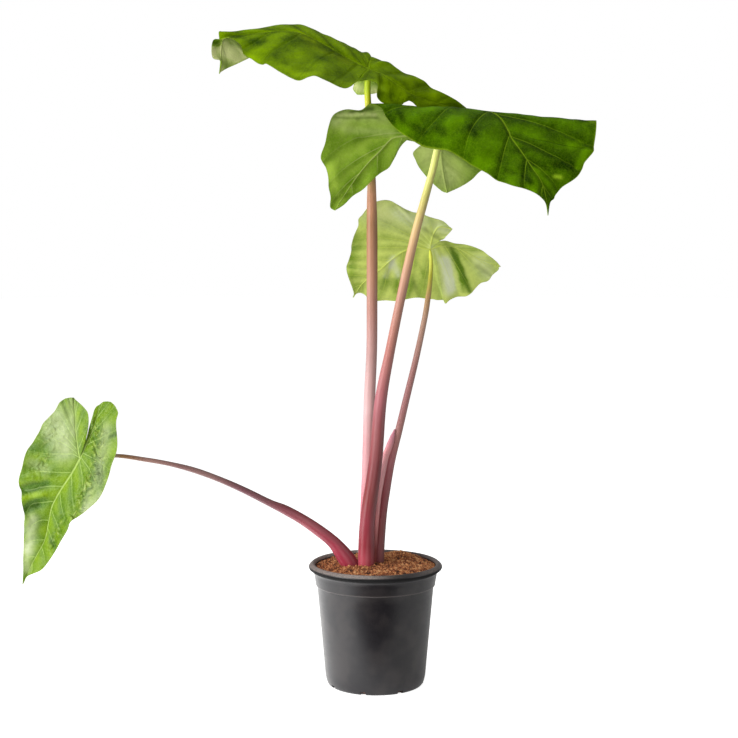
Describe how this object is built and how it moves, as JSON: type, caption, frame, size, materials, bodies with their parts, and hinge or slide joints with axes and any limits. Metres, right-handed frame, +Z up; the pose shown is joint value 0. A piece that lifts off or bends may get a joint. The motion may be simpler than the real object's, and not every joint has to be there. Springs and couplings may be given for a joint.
{
  "type": "potted imperial red alocasia",
  "caption": "Tall aroid with long reddish stalks and large arrow-shaped green leaves, growing from a corm in a soil-filled plastic nursery pot.",
  "frame": {"origin": "centre of the pot's underside, on the face that it stands on", "axes": "+Z up along the pot's axis, -Y towards the viewer of the picture, +X to that viewer's right, so the low leaf reaches out along -X"},
  "size_m": [0.8818, 0.2991, 1.0386],
  "materials": {
    "pot_plastic": "dark grey satin moulded plastic",
    "soil": "crumbly brown potting mix of coir and bark",
    "corm": "fibrous brown skin",
    "stalk": "smooth, faintly ribbed, red to pale pink",
    "leaf_dark": "semi-gloss dark green, pale green beneath",
    "leaf_light": "semi-gloss fresh green, pale green beneath"
  },
  "bodies": {
    "root": {"pot": "pot_plastic", "soil": "soil", "corm": "corm", "stalk_low_left": "stalk", "stalk_tall_back": "stalk", "stalk_front": "stalk", "stalk_slim_right": "stalk", "sheath": "stalk", "leaf_low_left": "leaf_light", "leaf_tall_back": "leaf_dark", "leaf_front": "leaf_dark", "leaf_slim_right": "leaf_light"}
  },
  "joints": []
}
